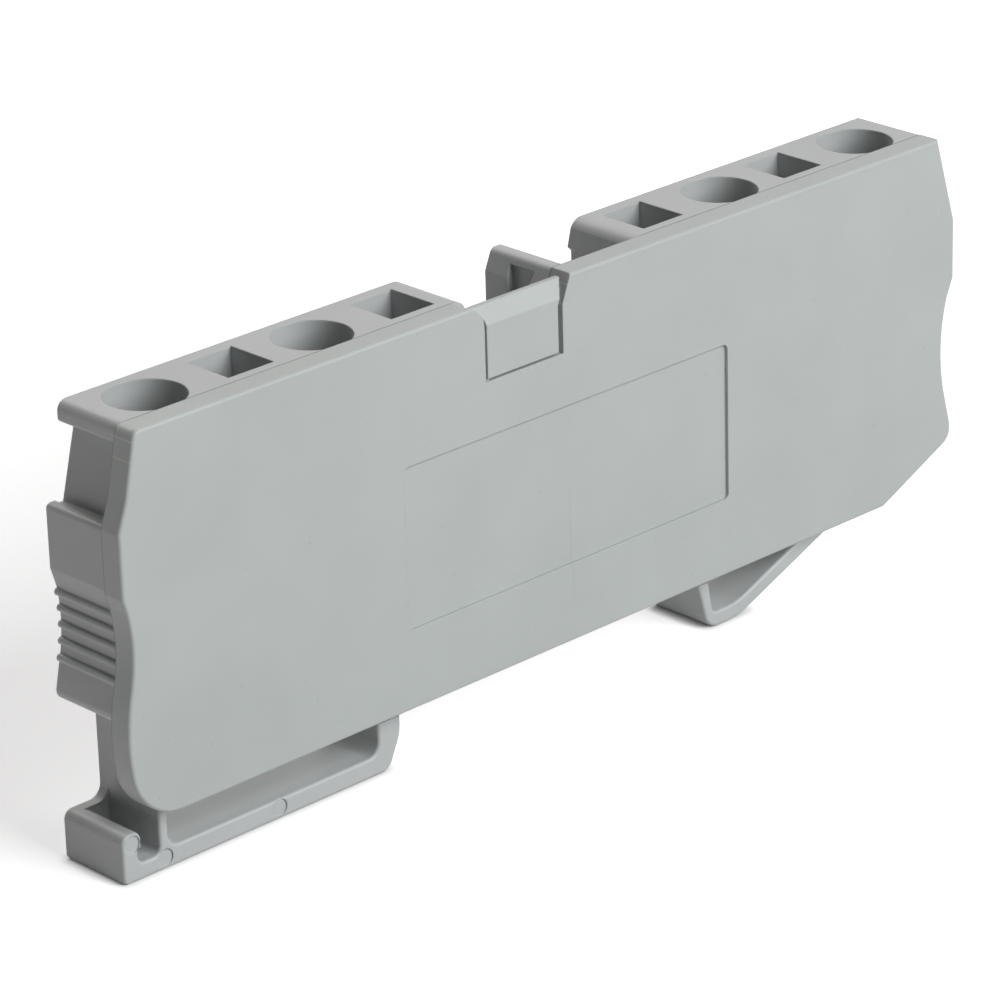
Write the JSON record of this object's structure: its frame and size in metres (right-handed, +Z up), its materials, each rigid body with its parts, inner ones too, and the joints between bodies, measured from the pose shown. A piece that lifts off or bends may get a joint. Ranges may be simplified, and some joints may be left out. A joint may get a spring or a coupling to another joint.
{
  "type": "feed-through terminal block with end cover",
  "caption": "Slim rail-mounted spring-clamp terminal block, closed on its open side by a flat end cover with a break-out tab and a bare label panel.",
  "frame": {"origin": "on the surface the feet stand on, under the middle of the block", "axes": "+X along the block from the release foot to the rail hook, +Y from the cover to the closed back, +Z up from the feet to the conductor entries"},
  "size_m": [0.087, 0.0084, 0.0348],
  "materials": {
    "grey_polyamide": "fine satin moulded polyamide",
    "tinned_copper": "stamped copper bar with a dull tin coat",
    "spring_steel": "bright rolled strip"
  },
  "bodies": {
    "block": {"housing": "grey_polyamide", "current_bar": "tinned_copper", "cage_spring_left_outer": "spring_steel", "cage_spring_left_inner": "spring_steel", "cage_spring_right_inner": "spring_steel", "cage_spring_right_outer": "spring_steel"},
    "cover": {"end_cover": "grey_polyamide"}
  },
  "joints": [
    {"name": "cover_pull", "type": "slide", "parent": "block", "child": "cover", "axis": [0, -1, 0], "range_m": [0, 0.01]}
  ]
}
